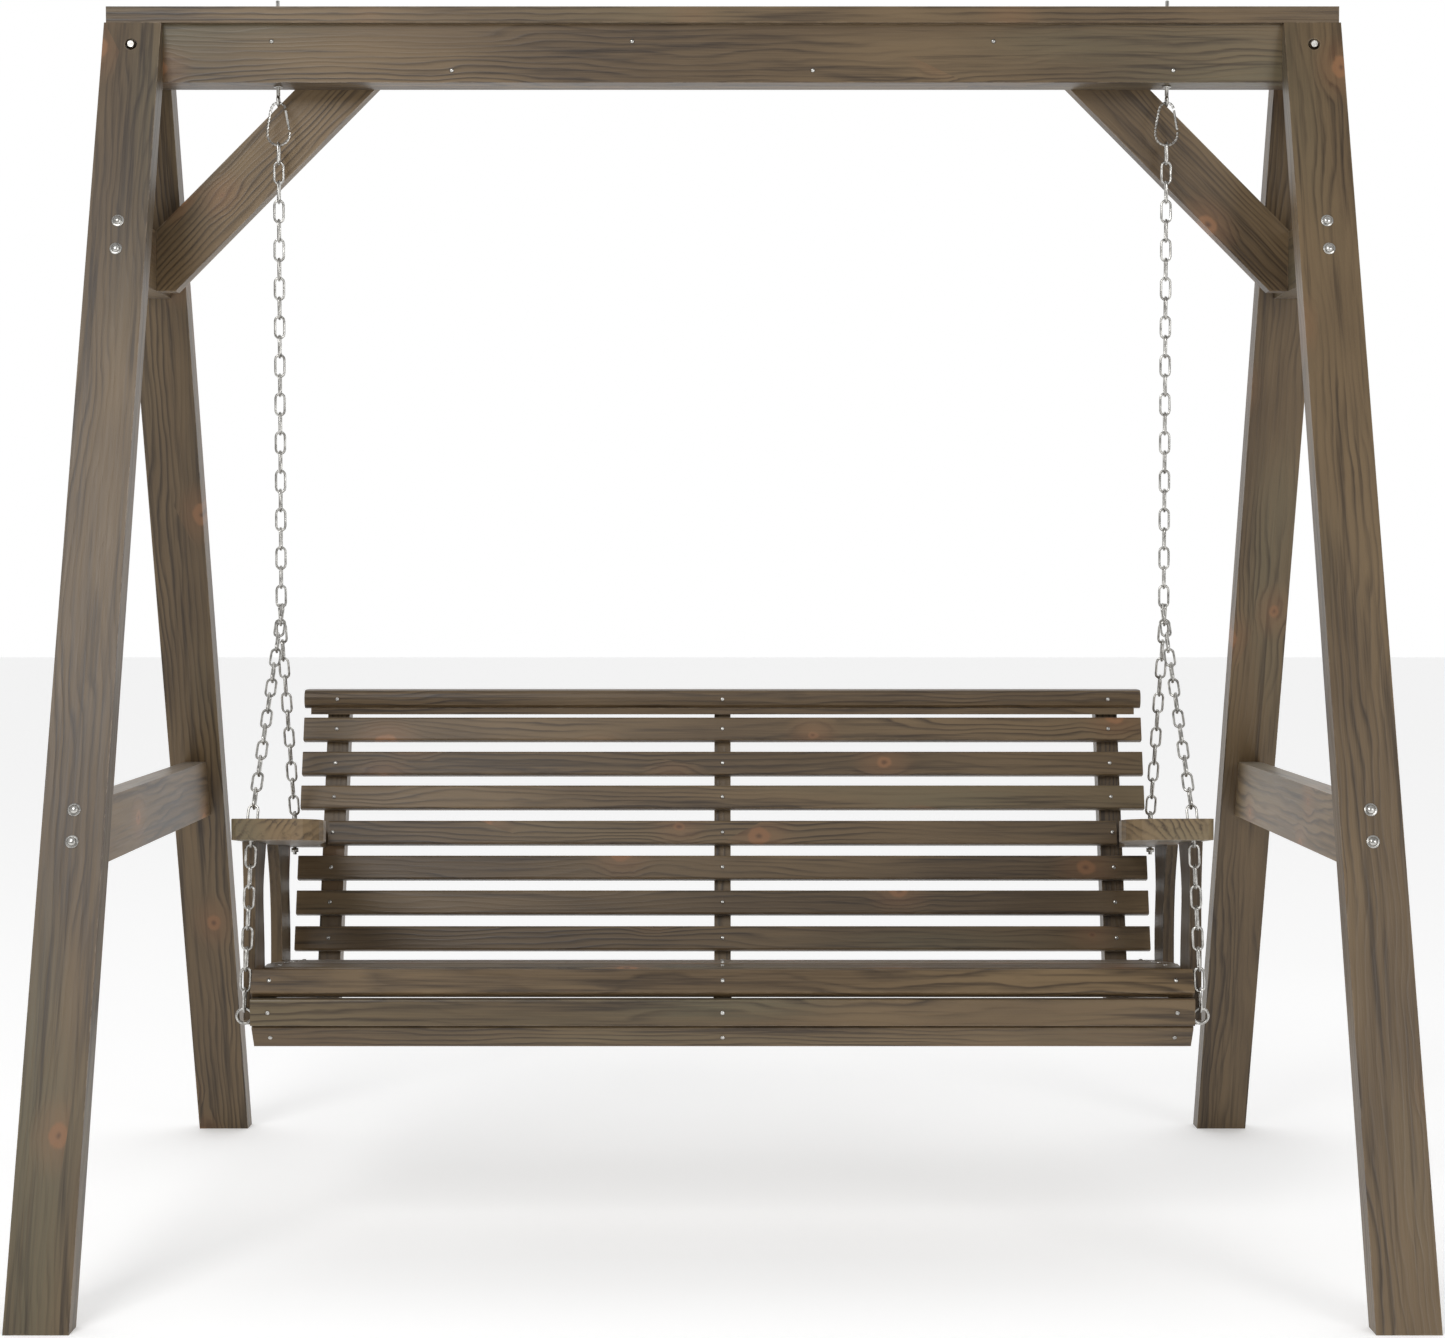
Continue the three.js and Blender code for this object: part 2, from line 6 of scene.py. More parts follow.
import bmesh
import bpy
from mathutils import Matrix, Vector


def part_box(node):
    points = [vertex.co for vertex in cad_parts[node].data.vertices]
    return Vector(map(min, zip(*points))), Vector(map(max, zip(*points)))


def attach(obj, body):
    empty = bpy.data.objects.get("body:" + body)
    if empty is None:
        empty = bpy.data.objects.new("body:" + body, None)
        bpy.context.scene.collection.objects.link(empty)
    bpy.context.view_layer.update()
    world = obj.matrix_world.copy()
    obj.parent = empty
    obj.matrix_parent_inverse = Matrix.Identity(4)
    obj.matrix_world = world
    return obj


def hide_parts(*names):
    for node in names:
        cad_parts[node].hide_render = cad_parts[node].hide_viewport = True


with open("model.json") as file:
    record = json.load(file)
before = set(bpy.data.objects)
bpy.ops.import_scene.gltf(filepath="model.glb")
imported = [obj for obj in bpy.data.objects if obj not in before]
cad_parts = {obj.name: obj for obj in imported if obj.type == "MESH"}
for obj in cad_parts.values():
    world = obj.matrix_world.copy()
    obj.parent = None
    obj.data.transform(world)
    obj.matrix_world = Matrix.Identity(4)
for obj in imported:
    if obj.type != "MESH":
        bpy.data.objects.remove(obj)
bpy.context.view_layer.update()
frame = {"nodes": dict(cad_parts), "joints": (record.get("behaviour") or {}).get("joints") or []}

SIDES = (("left", -1), ("right", 1))
MM = 0.001

# Stain colours, linear
LIGHT = (0.168, 0.112, 0.056, 1)
MIDDLE = (0.088, 0.056, 0.027, 1)
DARK = (0.020, 0.011, 0.005, 1)
KNOT = (0.260, 0.125, 0.055, 1)
KNOT_CORE = (0.085, 0.040, 0.020, 1)
GREEN_GREY = (0.120, 0.112, 0.066, 1)
# Painted highlight: a light colour laid on the eased edges of the boards
EDGE_HIGHLIGHT = (0.270, 0.205, 0.130, 1)

# Ironware, metres
LINK_WIRE = 2.0 * MM
LINK_HALF_WIDTH = 7.2 * MM
RING_WIRE = 2.25 * MM
HANGER_RING = 7.6 * MM
HANGER_WIRE = 2.0 * MM
STEM = 3.0 * MM
FRONT_HOLE = (0.695, -0.284, 0.662)
UPPER_LINKS = 24
FRONT_LINKS = 23
REAR_LINKS = 12
HOOK_TO_CHAIN = 4.3 * MM
SPLIT_STEP = 2.25 * MM
SPLIT_RISE = 2.1 * MM
EYE_CLEARANCE = 0.4 * MM
NUT_RADIUS = 6.4 * MM
BEAM_WASHER = (1.9 * MM, 7.0 * MM)
CAP_WASHER = (1.8 * MM, 9.0 * MM)
CAP_NUT = 5.5 * MM
RAIL_NUT = 7.0 * MM
ARM_NUT = 6.0 * MM
ARM_NUT_RISE = 10.0 * MM

# Bolts of the stand: washer (thickness, radius) and head, at these heights on every leg
BOLT_WASHER = (1.5 * MM, 9.5 * MM)
BOLT_HEAD = 6.8 * MM
BOLT_SINK = 0.3 * MM
BOLT_HEIGHTS = (1.555, 1.511, 0.684, 0.640)

# Screws: (height, places along) on the beam, then the columns across the bench
BEAM_SCREW = 3.5 * MM
BEAM_SCREWS = ((1.850, (-0.704, -0.141, 0.423)), (1.805, (-0.423, 0.141, 0.704)))
SCREW = 3.4 * MM
SCREW_SEAT = 8.8 * MM
STILE_SCREWS_X = (-0.643, 0.0, 0.643)
RAIL_SCREWS_X = (-0.676, 0.0, 0.676)
ROLL_SCREWS_X = (-0.672, 0.0, 0.672)
CAP_SCREW_DROP = 15.5 * MM
CAP_SCREW_SINK = 0.3 * MM
ROLL_TURNS = (("roll_slat_top", 55), ("roll_slat_front", 90), ("roll_slat_under", 125))

# Slopes, as rise of one over the other
LEG_SLOPE = 0.337
BACK_SLOPE = 0.305
SEAT_SLOPE = 0.122
ARM_SLOPE = 0.125
LEG_ANGLE = math.atan(LEG_SLOPE)
BACK_ANGLE = math.atan(BACK_SLOPE)
SEAT_ANGLE = math.atan(SEAT_SLOPE)
EASED_EDGE = 1.6 * MM

# Camera and lamps
CAMERA_PLACE = (0, -4.092, 1.008)
CAMERA_DIP = 1.952
CAMERA_LENS = 64.33
LAMP_AIM = (0, 0, 0.9)
LAMPS = (("key", (-2.2, -4.6, 4.0), 2.2, 120), ("fill", (3.4, -4.6, 2.4), 2.0, 60))


# ---------------------------------------------------------------- shader helpers
class Nodes:
    """A small helper that adds shader nodes and wires them up."""

    def __init__(self, tree):
        self.tree = tree

    def add(self, kind, inputs=None, **settings):
        node = self.tree.nodes.new(kind)
        for key, value in settings.items():
            setattr(node, key, value)
        for key, value in (inputs or {}).items():
            if isinstance(value, bpy.types.NodeSocket):
                self.tree.links.new(value, node.inputs[key])
            else:
                node.inputs[key].default_value = value
        return node

    def math(self, operation, a, b=0.0):
        return self.add("ShaderNodeMath", {0: a, 1: b}, operation=operation).outputs[0]

    def vector(self, operation, a, b=(0, 0, 0)):
        node = self.add("ShaderNodeVectorMath", {0: a, 1: b}, operation=operation)
        return node.outputs["Value" if operation in ("LENGTH", "DOT_PRODUCT") else "Vector"]

    def noise(self, place, stretch, detail=3.0, rough=0.55):
        scaled = self.vector("MULTIPLY", place, stretch)
        inputs = {"Vector": scaled, "Scale": 1.0, "Detail": detail, "Roughness": rough}
        return self.add("ShaderNodeTexNoise", inputs).outputs["Fac"]

    def remap(self, value, low, high, out_low=0.0, out_high=1.0):
        inputs = {"Value": value, "From Min": low, "From Max": high, "To Min": out_low, "To Max": out_high}
        node = self.add("ShaderNodeMapRange", inputs, interpolation_type="SMOOTHSTEP")
        return node.outputs["Result"]

    def mix(self, factor, a, b, blend="MIX"):
        node = self.add("ShaderNodeMix", {0: factor, 6: a, 7: b}, data_type="RGBA", blend_type=blend)
        return node.outputs[2]

    def ramp(self, value, stops):
        node = self.add("ShaderNodeValToRGB", {"Fac": value})
        elements = node.color_ramp.elements
        while len(elements) < len(stops):
            elements.new(0.5)
        for element, (position, level) in zip(elements, stops):
            element.position = position
            element.color = (level, level, level, 1)
        return node.outputs["Color"]


def wood_group():
    """Grain of a stained board: place runs along the board in x, across it in y and through it in z."""
    tree = bpy.data.node_groups.new("softwood_grain", "ShaderNodeTree")
    given_values = (("Place", "NodeSocketVector"), ("Seed", "NodeSocketFloat"), ("Tone and shading", "NodeSocketFloat"))
    for name, kind in given_values:
        tree.interface.new_socket(name, in_out="INPUT", socket_type=kind)
    results = (("Color", "NodeSocketColor"), ("Roughness", "NodeSocketFloat"), ("Height", "NodeSocketFloat"))
    for name, kind in results:
        tree.interface.new_socket(name, in_out="OUTPUT", socket_type=kind)
    n = Nodes(tree)
    given = n.add("NodeGroupInput")
    seed = given.outputs["Seed"]
    offsets = {0: n.math("MULTIPLY", seed, 3.7), 1: n.math("MULTIPLY", seed, 0.61), 2: seed}
    shift = n.add("ShaderNodeCombineXYZ", offsets)
    place = n.vector("ADD", given.outputs["Place"], shift.outputs[0])

    # Knots, one to a cell of about 420 by 105 mm, some cells left clear
    cell = (0.42, 0.105, 1.0)
    flat = n.vector("MULTIPLY", place, (1 / cell[0], 1 / cell[1], 0.0))
    cells = n.add("ShaderNodeTexVoronoi", {"Vector": flat, "Scale": 1.0},
                  voronoi_dimensions="3D", feature="F1")
    away = n.vector("MULTIPLY", n.vector("SUBTRACT", flat, cells.outputs["Position"]), cell)
    chance = n.add("ShaderNodeSeparateColor", {"Color": cells.outputs["Color"]})
    wobble = n.noise(place, (60, 60, 60), 2.0)
    reach = n.math("ADD", n.vector("LENGTH", n.vector("MULTIPLY", away, (0.85, 1.15, 0.0))),
                   n.math("MULTIPLY", n.math("SUBTRACT", wobble, 0.5), 0.008))
    size = n.math("MULTIPLY", n.remap(chance.outputs[0], 0.38, 0.95), 0.015)
    knot = n.remap(n.math("SUBTRACT", reach, size), -0.002, 0.004, 1.0, 0.0)
    knot = n.math("MULTIPLY", knot, n.math("GREATER_THAN", size, 0.002))
    halo = n.remap(n.math("SUBTRACT", reach, size), 0.0, 0.045, 1.0, 0.0)
    halo = n.math("MULTIPLY", halo, n.math("GREATER_THAN", size, 0.002))

    # Year rings of a log sawn lengthwise, bent round the knots
    parts = n.add("ShaderNodeSeparateXYZ", {0: place})
    sideways = n.add("ShaderNodeSeparateXYZ", {0: away})
    warp = n.math("SUBTRACT", n.noise(place, (2.2, 10, 10), 2.0), 0.5)
    ripple = n.math("SUBTRACT", n.noise(place, (11, 50, 50), 2.0), 0.5)
    across = n.math("SUBTRACT", parts.outputs[1],
                    n.math("MULTIPLY", n.math("MULTIPLY", sideways.outputs[1], halo), 0.75))
    across = n.math("ADD", across, n.math("MULTIPLY", warp, 0.085))
    pith = n.math("MULTIPLY", n.math("SINE", n.math("MULTIPLY", seed, 5.3)), 0.03)
    centre = n.math("MULTIPLY", seed, 0.61)
    off_y = n.math("SUBTRACT", n.math("SUBTRACT", across, centre), pith)
    off_z = n.math("ADD", n.math("SUBTRACT", parts.outputs[2], seed), 0.035)
    ring = n.math("SQRT", n.math("ADD", n.math("POWER", off_y, 2.0), n.math("POWER", off_z, 2.0)))
    ring = n.math("ADD", ring, n.math("MULTIPLY", ripple, 0.009))
    phase = n.math("FRACT", n.math("DIVIDE", ring, 0.0095))
    late = n.ramp(phase, ((0.0, 0.0), (0.40, 0.05), (0.80, 1.0), (1.0, 0.0)))

    # Fibres, brushed streaks and broad patches
    fibre = n.noise(place, (10, 420, 420), 3.0, 0.6)
    streak = n.noise(place, (2.6, 75, 75), 3.0, 0.6)
    patch = n.noise(place, (1.7, 7, 7), 3.0)
    strength = n.remap(n.noise(place, (2.2, 14, 14), 2.0), 0.38, 0.62, 0.12, 1.0)
    colour = n.mix(n.remap(patch, 0.32, 0.68), MIDDLE, LIGHT)
    colour = n.mix(n.remap(n.noise(place, (0.9, 5, 5), 2.0), 0.5, 0.75, 0.0, 0.6), colour, GREEN_GREY)
    colour = n.mix(n.math("MULTIPLY", n.math("MULTIPLY", late, strength), 0.85), colour, DARK)
    colour = n.mix(n.remap(streak, 0.50, 0.72, 0.0, 0.75), colour, DARK)
    colour = n.mix(n.remap(fibre, 0.40, 0.68, 0.0, 0.28), colour, LIGHT)
    colour = n.mix(n.math("MULTIPLY", halo, 0.28), colour, KNOT)
    core = n.remap(reach, 0.0, 0.007, 0.85, 0.0)
    knot_colour = n.mix(core, KNOT, KNOT_CORE)
    colour = n.mix(n.math("MULTIPLY", knot, 0.8), colour, knot_colour)
    # Painted shade and light by kind of board, times a random stain tone, multiplies the colour
    tone_and_shading = n.add("ShaderNodeCombineColor", {i: given.outputs["Tone and shading"] for i in range(3)})
    colour = n.mix(1.0, colour, tone_and_shading.outputs[0], "MULTIPLY")

    rough = n.math("ADD", 0.30, n.math("MULTIPLY", fibre, 0.22))
    height = n.math("ADD", n.math("MULTIPLY", late, 0.5), n.math("MULTIPLY", fibre, 0.6))
    result = n.add("NodeGroupOutput")
    tree.links.new(colour, result.inputs["Color"])
    tree.links.new(rough, result.inputs["Roughness"])
    tree.links.new(height, result.inputs["Height"])
    return tree


def wood_material(name, along, across, seed, tone_and_shading, grain):
    """Board material: along is the grain's direction and across the board's wide face, in the row frame."""
    material = bpy.data.materials.new("wood_" + name)
    material.use_nodes = True
    n = Nodes(material.node_tree)
    shader = material.node_tree.nodes["Principled BSDF"]
    along = Vector(along).normalized()
    across = Vector(across).normalized()
    place = n.add("ShaderNodeTexCoord").outputs["Object"]
    axes = (along, across, along.cross(across))
    lengths = {i: n.vector("DOT_PRODUCT", place, tuple(axis)) for i, axis in enumerate(axes)}
    local = n.add("ShaderNodeCombineXYZ", lengths)
    look = n.add("ShaderNodeGroup", {}, node_tree=grain)
    look.inputs["Seed"].default_value = seed
    look.inputs["Tone and shading"].default_value = tone_and_shading
    link = material.node_tree.links.new
    link(local.outputs[0], look.inputs["Place"])
    # Painted highlight on the eased edges: lighter colour where the bevelled normal turns from the face,
    # broken up by noise
    rounded = n.add("ShaderNodeBevel", {"Radius": 0.0035}, samples=4)
    plain = n.add("ShaderNodeNewGeometry")
    facing = n.vector("DOT_PRODUCT", rounded.outputs[0], plain.outputs["Normal"])
    edge = n.remap(facing, 0.99, 0.80, 0.0, 1.0)
    edge_breakup = n.remap(n.noise(place, (45, 45, 45), 3.0), 0.45, 0.62)
    edge_highlighted = n.mix(n.math("MULTIPLY", n.math("MULTIPLY", edge, edge_breakup), 0.55), look.outputs["Color"], EDGE_HIGHLIGHT)
    bump = n.add("ShaderNodeBump", {"Strength": 0.35, "Distance": 0.0009, "Height": look.outputs["Height"]})
    link(edge_highlighted, shader.inputs["Base Color"])
    link(look.outputs["Roughness"], shader.inputs["Roughness"])
    link(bump.outputs[0], shader.inputs["Normal"])
    shader.inputs["Specular IOR Level"].default_value = 0.45
    shader.inputs["Sheen Weight"].default_value = 0.2
    shader.inputs["Sheen Roughness"].default_value = 0.2
    return material


def steel_material():
    """Bright plated steel with faint darker clouding and scratches."""
    material = bpy.data.materials.new("bright_steel")
    material.use_nodes = True
    n = Nodes(material.node_tree)
    shader = material.node_tree.nodes["Principled BSDF"]
    place = n.add("ShaderNodeTexCoord").outputs["Object"]
    cloud = n.noise(place, (90, 90, 90), 3.0)
    scratch = n.noise(place, (900, 900, 250), 2.0)
    colour = n.mix(n.remap(cloud, 0.35, 0.7), (0.62, 0.61, 0.58, 1), (0.30, 0.29, 0.27, 1))
    rough = n.math("ADD", 0.16, n.math("MULTIPLY", scratch, 0.22))
    bump = n.add("ShaderNodeBump", {"Strength": 0.12, "Distance": 0.0003, "Height": scratch})
    link = material.node_tree.links.new
    link(colour, shader.inputs["Base Color"])
    link(rough, shader.inputs["Roughness"])
    link(bump.outputs[0], shader.inputs["Normal"])
    shader.inputs["Metallic"].default_value = 1.0
    return material


# ---------------------------------------------------------------- wood
def board_axes(name):
    """(grain direction, wide face direction) of a board, from its name."""
    side = -1 if name.endswith("left") else 1
    if name.startswith("leg_front"):
        return (0, -math.sin(LEG_ANGLE), -math.cos(LEG_ANGLE)), (1, 0, 0)
    if name.startswith("leg_rear"):
        return (0, math.sin(LEG_ANGLE), -math.cos(LEG_ANGLE)), (1, 0, 0)
    if name.startswith(("upper_spreader", "lower_crossbar")):
        return (0, 1, 0), (0, 0, 1)
    if name.startswith("knee_brace"):
        return (side, 0, -1), (side, 0, 1)
    if name.startswith("back_stile"):
        return (0, math.sin(BACK_ANGLE), math.cos(BACK_ANGLE)), (1, 0, 0)
    if name.startswith("seat_rail"):
        return (0, 1, 0), (0, 0, 1)
    if name.startswith("armrest"):
        return (0, 1, -ARM_SLOPE), (1, 0, 0)
    if name.startswith(("front_post", "rear_post")):
        return (0, 0, 1), (0, 1, 0)
    if name.startswith("back_slat"):
        return (1, 0, 0), (0, math.sin(BACK_ANGLE), math.cos(BACK_ANGLE))
    if name.startswith(("seat_slat", "cap_board")):
        return (1, 0, 0), (0, 1, 0)
    return (1, 0, 0), (0, 0, 1)


def painted_board_shading(name):
    """Fixed brightness for each kind of board: painted shade darkens the posts, stiles, seat rails and legs,
    painted light brightens the lower crossbar and armrests.
    """
    if name.startswith("lower_crossbar"):
        return 1.25
    if name.startswith("armrest"):
        return 1.2
    if name.startswith(("front_post", "rear_post", "back_stile", "seat_rail")):
        return 0.8
    if name.startswith("leg"):
        return 0.85
    return 1.0


def soften(obj):
    """Eased edges, as a planed board has."""
    bevel = obj.modifiers.new("eased_edges", "BEVEL")
    bevel.width = EASED_EDGE
    bevel.segments = 2
    bevel.limit_method = "ANGLE"
    bevel.angle_limit = math.radians(40)
    bevel.harden_normals = False


def smooth_by_angle(obj):
    """Smooth shading that keeps edges sharper than 35 degrees."""
    for polygon in obj.data.polygons:
        polygon.use_smooth = True
    bpy.ops.object.select_all(action="DESELECT")
    obj.select_set(True)
    bpy.context.view_layer.objects.active = obj
    bpy.ops.object.shade_auto_smooth(angle=math.radians(35))


def dress_wood():
    """A grain of its own for every board."""
    grain = wood_group()
    rng = random.Random(7)
    steel_words = ("bolt", "eye", "hook", "gate", "chain")
    for name, obj in sorted(frame["nodes"].items()):
        if any(word in name for word in steel_words):
            continue
        along, across = board_axes(name)
        # Painted shade and light by kind of board, times a random stain tone
        tone_and_shading = painted_board_shading(name) * rng.uniform(0.9, 1.1)
        obj.data.materials.clear()
        obj.data.materials.append(wood_material(name, along, across, rng.uniform(0.2, 9.0), tone_and_shading, grain))
        if "slat" not in name:
            soften(obj)


# ---------------------------------------------------------------- steel
def new_mesh(name, bm, material, body):
    """A finished bmesh becomes a piece that rides on a body."""
    mesh = bpy.data.meshes.new(name)
    bm.normal_update()
    bm.to_mesh(mesh)
    bm.free()
    for polygon in mesh.polygons:
        polygon.use_smooth = True
    obj = bpy.data.objects.new(name, mesh)
    bpy.context.scene.collection.objects.link(obj)
    mesh.materials.append(material)
    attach(obj, body)
    return obj


def add_sweep(bm, points, radius, closed, sides=10):
    """Round wire along points."""
    count = len(points)
    rings = []
    reference = None
    for i, point in enumerate(points):
        before = points[i - 1] if closed or i > 0 else point
        after = points[(i + 1) % count] if closed or i < count - 1 else point
        tangent = (after - before).normalized()
        if reference is None:
            reference = tangent.orthogonal().normalized()
        reference = (reference - tangent * reference.dot(tangent)).normalized()
        other = tangent.cross(reference)
        ring = []
        for k in range(sides):
            angle = 2 * math.pi * k / sides
            out = reference * math.cos(angle) + other * math.sin(angle)
            ring.append(bm.verts.new(point + out * radius))
        rings.append(ring)
    for i in range(count if closed else count - 1):
        a, b = rings[i], rings[(i + 1) % count]
        for k in range(sides):
            bm.faces.new((a[k], a[(k + 1) % sides], b[(k + 1) % sides], b[k]))
    if not closed:
        bm.faces.new(rings[0][::-1])
        bm.faces.new(rings[-1])


def add_turned(bm, start, axis, profile, sides=20):
    """Turned piece: profile is (distance along axis, radius), first and last radius may be 0."""
    axis = Vector(axis).normalized()
    u = axis.orthogonal().normalized()
    v = axis.cross(u)
    rings = []
    for along, radius in profile:
        centre = Vector(start) + axis * along
        if radius <= 0:
            rings.append([bm.verts.new(centre)])
            continue
        angles = [2 * math.pi * k / sides for k in range(sides)]
        rings.append([bm.verts.new(centre + (u * math.cos(a) + v * math.sin(a)) * radius) for a in angles])
    for a, b in zip(rings, rings[1:]):
        for k in range(sides):
            m = (k + 1) % sides
            if len(a) == 1:
                bm.faces.new((a[0], b[m], b[k]))
            elif len(b) == 1:
                bm.faces.new((a[k], a[m], b[0]))
            else:
                bm.faces.new((a[k], a[m], b[m], b[k]))


def link_points(start, end, wide):
    """Centre line of one chain link between two contact points."""
    along = (end - start)
    inner = along.length
    along.normalize()
    across = (wide - along * wide.dot(along)).normalized()
    middle = (start + end) / 2
    straight = inner / 2 + LINK_WIRE - LINK_HALF_WIDTH
    points = []
    for sign in (1, -1):
        for k in range(7):
            angle = math.pi * k / 6
            x = math.cos(angle) * LINK_HALF_WIDTH * sign
            y = (straight + math.sin(angle) * LINK_HALF_WIDTH) * sign
            points.append(middle + across * x + along * y)
    return points


def path_point(corners, share):
    """Point at a share of the length of a line through corners."""
    lengths = [(b - a).length for a, b in zip(corners, corners[1:])]
    rest = share * sum(lengths)
    for (a, b), length in zip(zip(corners, corners[1:]), lengths):
        if rest <= length:
            return a.lerp(b, rest / length)
        rest -= length
    return corners[-1].copy()


def make_chain(name, corners, count, material, body, node):
    """Separate links, every other one turned a quarter, in place of a CAD chain."""
    bm = bmesh.new()
    sideways = Vector((1, 0, 0))
    corners = [Vector(c) for c in corners]
    for i in range(count):
        start = path_point(corners, i / count)
        end = path_point(corners, (i + 1) / count)
        front = (end - start).cross(sideways)
        add_sweep(bm, link_points(start, end, front if i % 2 == 0 else sideways), LINK_WIRE * 0.97, True)
    obj = new_mesh(name, bm, material, body)
    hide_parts(node)
    return obj


def ring_points(centre, radius, u, v):
    """Circle in the plane of u and v."""
    count = 28
    angles = [2 * math.pi * k / count for k in range(count)]
    return [Vector(centre) + (Vector(u) * math.cos(a) + Vector(v) * math.sin(a)) * radius for a in angles]


def hex_nut(bm, start, axis, height):
    profile = ((0, 0), (0, NUT_RADIUS), (height, NUT_RADIUS), (height, 0))
    add_turned(bm, start, axis, profile, sides=6)


def washer(bm, start, axis, height, radius):
    profile = ((0, 0), (0, radius), (height * 0.7, radius), (height, radius * 0.92), (height, 0))
    add_turned(bm, start, axis, profile)


def hangers(steel):
    """Eye bolts that hang from nuts on the cap board."""
    for label, _ in SIDES:
        low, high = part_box("hanger_eye_" + label)
        x = (low[0] + high[0]) / 2
        ring_z = low[2] + HANGER_RING + HANGER_WIRE
        beam_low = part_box("beam_front_ply")[0][2]
        cap_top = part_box("cap_board")[1][2]
        bm = bmesh.new()
        add_sweep(bm, ring_points((x, 0, ring_z), HANGER_RING, (0, 1, 0), (0, 0, 1)), HANGER_WIRE, True)
        length = high[2] - ring_z - HANGER_RING
        stem = ((0, 0), (0, STEM), (length - MM, STEM), (length, 0))
        add_turned(bm, (x, 0, ring_z + HANGER_RING), (0, 0, 1), stem)
        washer(bm, (x, 0, beam_low - 2 * MM), (0, 0, 1), *BEAM_WASHER)
        washer(bm, (x, 0, cap_top), (0, 0, 1), *CAP_WASHER)
        hex_nut(bm, (x, 0, cap_top + CAP_WASHER[0]), (0, 0, 1), CAP_NUT)
        obj = new_mesh("eye_bolt_" + label, bm, steel, "stand")
        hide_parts("hanger_eye_" + label)


def bench_eyes(steel):
    """Eyes that the lower chains end in: on the seat sides in front, on the armrests behind."""
    for label, side in SIDES:
        low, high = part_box("front_eye_" + label)
        y = (low[1] + high[1]) / 2
        z = (low[2] + high[2]) / 2
        radius = (high[2] - low[2]) / 2 - RING_WIRE
        x = side * (max(abs(low[0]), abs(high[0])) - radius - RING_WIRE)
        inner_x = side * min(abs(low[0]), abs(high[0]))
        bm = bmesh.new()
        add_sweep(bm, ring_points((x, y, z), radius, (1, 0, 0), (0, 0, 1)), RING_WIRE, True)
        start_x = x - side * radius
        length = abs(start_x - inner_x)
        add_turned(bm, (start_x, y, z), (-side, 0, 0), ((0, 0), (0, STEM), (length, STEM), (length, 0)))
        rail_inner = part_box("seat_rail_" + label)[1 if side < 0 else 0][0]
        hex_nut(bm, (rail_inner, y, z), (-side, 0, 0), RAIL_NUT)
        obj = new_mesh("seat_eye_" + label, bm, steel, "bench")
        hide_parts("front_eye_" + label)

        low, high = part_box("rear_eye_" + label)
        x = (low[0] + high[0]) / 2
        y = (low[1] + high[1]) / 2
        radius = (high[1] - low[1]) / 2 - RING_WIRE
        z = high[2] - radius - RING_WIRE
        bm = bmesh.new()
        add_sweep(bm, ring_points((x, y, z), radius, (0, 1, 0), (0, 0, 1)), RING_WIRE, True)
        length = z - radius - low[2]
        add_turned(bm, (x, y, z - radius), (0, 0, -1), ((0, 0), (0, STEM), (length, STEM), (length, 0)))
        hex_nut(bm, (x, y, low[2] + ARM_NUT_RISE), (0, 0, -1), ARM_NUT)
        obj = new_mesh("arm_eye_" + label, bm, steel, "bench")
        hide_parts("rear_eye_" + label)


def chains(steel):
    """Upper chains, and the lower ones that part from their last link."""
    pivot = Vector(next(j for j in frame["joints"] if j["name"] == "seat_pitch")["pos_m"])
    for label, side in SIDES:
        low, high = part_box("upper_chain_" + label)
        x = (low[0] + high[0]) / 2
        top = (x, 0, high[2] - HOOK_TO_CHAIN)
        bottom = (x, 0, pivot.z + LINK_WIRE)
        upper = "upper_chain_" + label
        make_chain("hanging_chain_" + label, (top, bottom), UPPER_LINKS, steel, "hangers", upper)
        for kind, step, count in (("front", -SPLIT_STEP, FRONT_LINKS), ("rear", SPLIT_STEP, REAR_LINKS)):
            e_low, e_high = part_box(kind + "_eye_" + label)
            end_y = (e_low[1] + e_high[1]) / 2
            end_z = e_high[2] - 2 * RING_WIRE - EYE_CLEARANCE
            if kind == "front":
                radius = (e_high[2] - e_low[2]) / 2
                end_x = side * (max(abs(e_low[0]), abs(e_high[0])) - radius)
                hole = Vector((side * FRONT_HOLE[0], FRONT_HOLE[1], FRONT_HOLE[2]))
                corners = [hole, Vector((end_x, end_y, end_z))]
            else:
                corners = [Vector(((e_low[0] + e_high[0]) / 2, end_y, end_z))]
            start = Vector((x + side * step, 0, pivot.z))
            down = (corners[0] - start).normalized()
            corners.insert(0, start - down * SPLIT_RISE)
            make_chain(kind + "_links_" + label, corners, count, steel, "bench", kind + "_chain_" + label)


def smooth_steel(steel):
    """The snap hooks, gates and apex bolts keep their solids and take the steel; the hooks are rounded by a
    modifier, and all are smooth shaded by angle.
    """
    for label, _ in SIDES:
        for node in ("snap_hook_" + label, "snap_gate_" + label, "apex_bolt_" + label):
            obj = frame["nodes"][node]
            obj.data.materials.clear()
            obj.data.materials.append(steel)
            if node.startswith("snap_hook"):
                smooth = obj.modifiers.new("round_wire", "SUBSURF")
                smooth.levels = 1
                smooth.render_levels = 2
            smooth_by_angle(obj)


def dome_head(bm, at, axis, radius):
    """Round head of a bolt or screw."""
    shape = ((0, 0), (0, 1), (0.3, 0.95), (0.55, 0.6), (0.65, 0))
    add_turned(bm, at, axis, [(radius * along, radius * out) for along, out in shape], sides=16)


